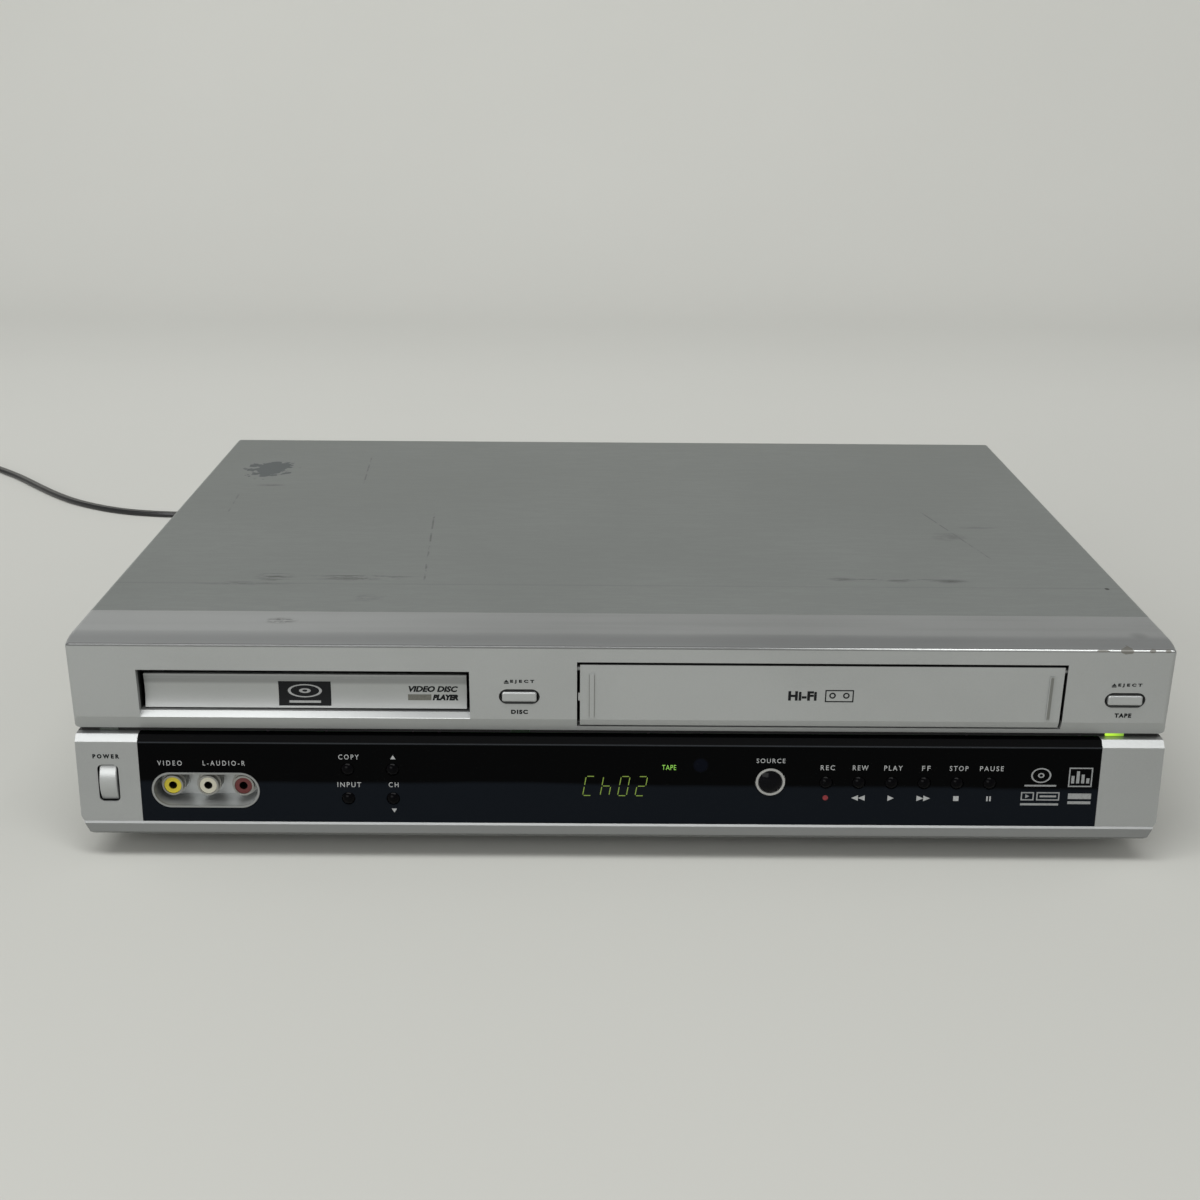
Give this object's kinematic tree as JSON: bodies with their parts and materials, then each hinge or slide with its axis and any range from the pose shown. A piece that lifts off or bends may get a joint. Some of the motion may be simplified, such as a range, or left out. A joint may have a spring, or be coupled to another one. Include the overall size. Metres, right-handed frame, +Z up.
{
  "type": "video cassette recorder",
  "caption": "Full-width silver video cassette recorder combined with a disc player: disc tray, cassette door, black display window with buttons and front jacks, and a mains cord.",
  "frame": {"origin": "on the floor, under the middle of the cabinet with its rear connectors, without the cord", "axes": "+X to the right as seen from the front, +Y towards the rear panel, +Z up"},
  "size_m": [0.7778, 0.692, 0.094],
  "materials": {
    "cover_paint": "satin silver-grey paint",
    "panel_silver": "satin silver paint on moulded plastic",
    "door_silver": "satin silver paint on moulded plastic",
    "window_black": "high gloss tinted",
    "button_black": "gloss black dome",
    "source_cap": "gloss dome in a bright ring",
    "plated": "bright nickel plating",
    "jack_yellow": "moulded yellow",
    "jack_white": "moulded off-white",
    "jack_red": "moulded dark red",
    "lens_clear": "tinted clear lens",
    "display_glass": "smoked glass tube",
    "board_green": "solder mask",
    "zinc_steel": "zinc plated sheet",
    "rear_sheet": "satin grey paint",
    "black_plastic": "moulded black",
    "loader_plastic": "moulded dark grey",
    "white_plastic": "moulded natural white",
    "drum_metal": "turned",
    "foot_rubber": "matt",
    "roller_rubber": "ground",
    "cord_skin": "flexible vinyl",
    "blade_metal": "stamped",
    "screw_steel": "plated"
  },
  "bodies": {
    "cabinet": {"base_chassis": "zinc_steel", "top_cover": "cover_paint", "rear_panel": "rear_sheet", "front_panel": "panel_silver", "display_window": "window_black", "jack_plate": "panel_silver", "front_jack_shells": "plated", "video_jack_insert": "jack_yellow", "audio_left_jack_insert": "jack_white", "audio_right_jack_insert": "jack_red", "lamp_lenses": "lens_clear", "display_module": "display_glass", "front_board": "board_green", "rubber_feet": "foot_rubber", "cover_screws": "screw_steel", "main_board": "board_green", "power_supply": "board_green", "rear_jack_block": "black_plastic", "rear_jack_shells": "plated", "antenna_tuner": "zinc_steel", "strain_relief": "black_plastic", "power_cord": "cord_skin", "cord_coil": "cord_skin", "cord_tie": "black_plastic", "power_plug": "cord_skin", "plug_blades": "blade_metal", "deck_chassis": "zinc_steel", "carriage_brackets": "zinc_steel", "drum_base": "drum_metal", "loader_frame": "loader_plastic"},
    "cassette_door": {"cassette_door": "door_silver"},
    "carriage": {"carriage": "zinc_steel"},
    "cassette_holder": {"cassette_holder": "zinc_steel"},
    "head_drum": {"head_drum": "drum_metal"},
    "supply_reel": {"supply_reel": "white_plastic"},
    "take_up_reel": {"take_up_reel": "white_plastic"},
    "capstan": {"capstan": "zinc_steel"},
    "pinch_arm": {"pinch_arm": "zinc_steel"},
    "pinch_roller": {"pinch_roller": "roller_rubber"},
    "disc_tray": {"disc_tray": "loader_plastic", "tray_front": "panel_silver"},
    "tray_gear": {"tray_gear": "white_plastic"},
    "disc_clamp": {"disc_clamp": "white_plastic"},
    "traverse": {"traverse": "zinc_steel"},
    "disc_turntable": {"disc_turntable": "black_plastic"},
    "optical_pickup": {"optical_pickup": "black_plastic"},
    "power_button": {"power_button": "panel_silver"},
    "disc_eject_button": {"disc_eject_button": "panel_silver"},
    "tape_eject_button": {"tape_eject_button": "panel_silver"},
    "source_button": {"source_button": "source_cap"},
    "copy_button": {"copy_button": "button_black"},
    "input_button": {"input_button": "button_black"},
    "channel_up_button": {"channel_up_button": "button_black"},
    "channel_down_button": {"channel_down_button": "button_black"},
    "record_button": {"record_button": "button_black"},
    "rewind_button": {"rewind_button": "button_black"},
    "play_button": {"play_button": "button_black"},
    "forward_button": {"forward_button": "button_black"},
    "stop_button": {"stop_button": "button_black"},
    "pause_button": {"pause_button": "button_black"}
  },
  "joints": [
    {"name": "door_hinge", "type": "hinge", "parent": "cabinet", "child": "cassette_door", "pos_m": [0.07815, -0.17367, 0.0826], "axis": [1, 0, 0], "range_deg": [0, 85], "stiffness_Nm_per_rad": 0.01},
    {"name": "tray_slide", "type": "slide", "parent": "cabinet", "child": "disc_tray", "axis": [0, -1, 0], "range_m": [0, 0.142]},
    {"name": "tray_gear_turn", "type": "hinge", "parent": "cabinet", "child": "tray_gear", "pos_m": [-0.1698, -0.135, 0.0654], "axis": [0, 0, 1], "continuous": true},
    {"name": "traverse_tilt", "type": "hinge", "parent": "cabinet", "child": "traverse", "pos_m": [-0.1238, -0.005, 0.055], "axis": [-1, 0, 0], "range_deg": [0, 4.2]},
    {"name": "turntable_spin", "type": "hinge", "parent": "traverse", "child": "disc_turntable", "pos_m": [-0.1238, -0.09375, 0.06202], "axis": [0, -0.0732, 0.9973], "continuous": true},
    {"name": "pickup_slide", "type": "slide", "parent": "traverse", "child": "optical_pickup", "axis": [0, 0.9973, 0.0732], "range_m": [0, 0.034]},
    {"name": "clamp_spin", "type": "hinge", "parent": "cabinet", "child": "disc_clamp", "pos_m": [-0.1238, -0.093, 0.0815], "axis": [0, 0, 1], "continuous": true},
    {"name": "carriage_slide", "type": "slide", "parent": "cabinet", "child": "carriage", "axis": [0, 1, 0], "range_m": [-0.078, 0]},
    {"name": "holder_drop", "type": "slide", "parent": "carriage", "child": "cassette_holder", "axis": [0, 0, -1], "range_m": [0, 0.022]},
    {"name": "drum_spin", "type": "hinge", "parent": "cabinet", "child": "head_drum", "pos_m": [0.08021, 0.053, 0.05139], "axis": [0.1028, 0, 0.9947], "continuous": true},
    {"name": "supply_reel_spin", "type": "hinge", "parent": "cabinet", "child": "supply_reel", "pos_m": [0.03215, -0.043, 0.0315], "axis": [0, 0, 1], "continuous": true},
    {"name": "take_up_reel_spin", "type": "hinge", "parent": "cabinet", "child": "take_up_reel", "pos_m": [0.12415, -0.043, 0.0315], "axis": [0, 0, 1], "continuous": true},
    {"name": "capstan_spin", "type": "hinge", "parent": "cabinet", "child": "capstan", "pos_m": [0.14015, 0.015, 0.0315], "axis": [0, 0, 1], "continuous": true},
    {"name": "pinch_swing", "type": "hinge", "parent": "cabinet", "child": "pinch_arm", "pos_m": [0.16015, 0.029, 0.0315], "axis": [0, 0, 1], "range_deg": [0, 24.5], "stiffness_Nm_per_rad": 0.02},
    {"name": "pinch_roller_spin", "type": "hinge", "parent": "pinch_arm", "child": "pinch_roller", "pos_m": [0.14008, 0.03328, 0.0315], "axis": [0, 0, 1], "continuous": true},
    {"name": "power_press", "type": "slide", "parent": "cabinet", "child": "power_button", "axis": [0, 1, 0], "range_m": [0, 0.0018], "stiffness_N_per_m": 300},
    {"name": "disc_eject_press", "type": "slide", "parent": "cabinet", "child": "disc_eject_button", "axis": [0, 1, 0], "range_m": [0, 0.0014], "stiffness_N_per_m": 300},
    {"name": "tape_eject_press", "type": "slide", "parent": "cabinet", "child": "tape_eject_button", "axis": [0, 1, 0], "range_m": [0, 0.0014], "stiffness_N_per_m": 300},
    {"name": "source_press", "type": "slide", "parent": "cabinet", "child": "source_button", "axis": [0, 1, 0], "range_m": [0, 0.001], "stiffness_N_per_m": 300},
    {"name": "copy_press", "type": "slide", "parent": "cabinet", "child": "copy_button", "axis": [0, 1, 0], "range_m": [0, 0.001], "stiffness_N_per_m": 300},
    {"name": "input_press", "type": "slide", "parent": "cabinet", "child": "input_button", "axis": [0, 1, 0], "range_m": [0, 0.001], "stiffness_N_per_m": 300},
    {"name": "channel_up_press", "type": "slide", "parent": "cabinet", "child": "channel_up_button", "axis": [0, 1, 0], "range_m": [0, 0.001], "stiffness_N_per_m": 300},
    {"name": "channel_down_press", "type": "slide", "parent": "cabinet", "child": "channel_down_button", "axis": [0, 1, 0], "range_m": [0, 0.001], "stiffness_N_per_m": 300},
    {"name": "record_press", "type": "slide", "parent": "cabinet", "child": "record_button", "axis": [0, 1, 0], "range_m": [0, 0.001], "stiffness_N_per_m": 300},
    {"name": "rewind_press", "type": "slide", "parent": "cabinet", "child": "rewind_button", "axis": [0, 1, 0], "range_m": [0, 0.001], "stiffness_N_per_m": 300},
    {"name": "play_press", "type": "slide", "parent": "cabinet", "child": "play_button", "axis": [0, 1, 0], "range_m": [0, 0.001], "stiffness_N_per_m": 300},
    {"name": "forward_press", "type": "slide", "parent": "cabinet", "child": "forward_button", "axis": [0, 1, 0], "range_m": [0, 0.001], "stiffness_N_per_m": 300},
    {"name": "stop_press", "type": "slide", "parent": "cabinet", "child": "stop_button", "axis": [0, 1, 0], "range_m": [0, 0.001], "stiffness_N_per_m": 300},
    {"name": "pause_press", "type": "slide", "parent": "cabinet", "child": "pause_button", "axis": [0, 1, 0], "range_m": [0, 0.001], "stiffness_N_per_m": 300}
  ],
  "couplings": [
    {"joint": "tray_gear_turn", "follows": "tray_slide", "rad_per_m": 90.909}
  ]
}
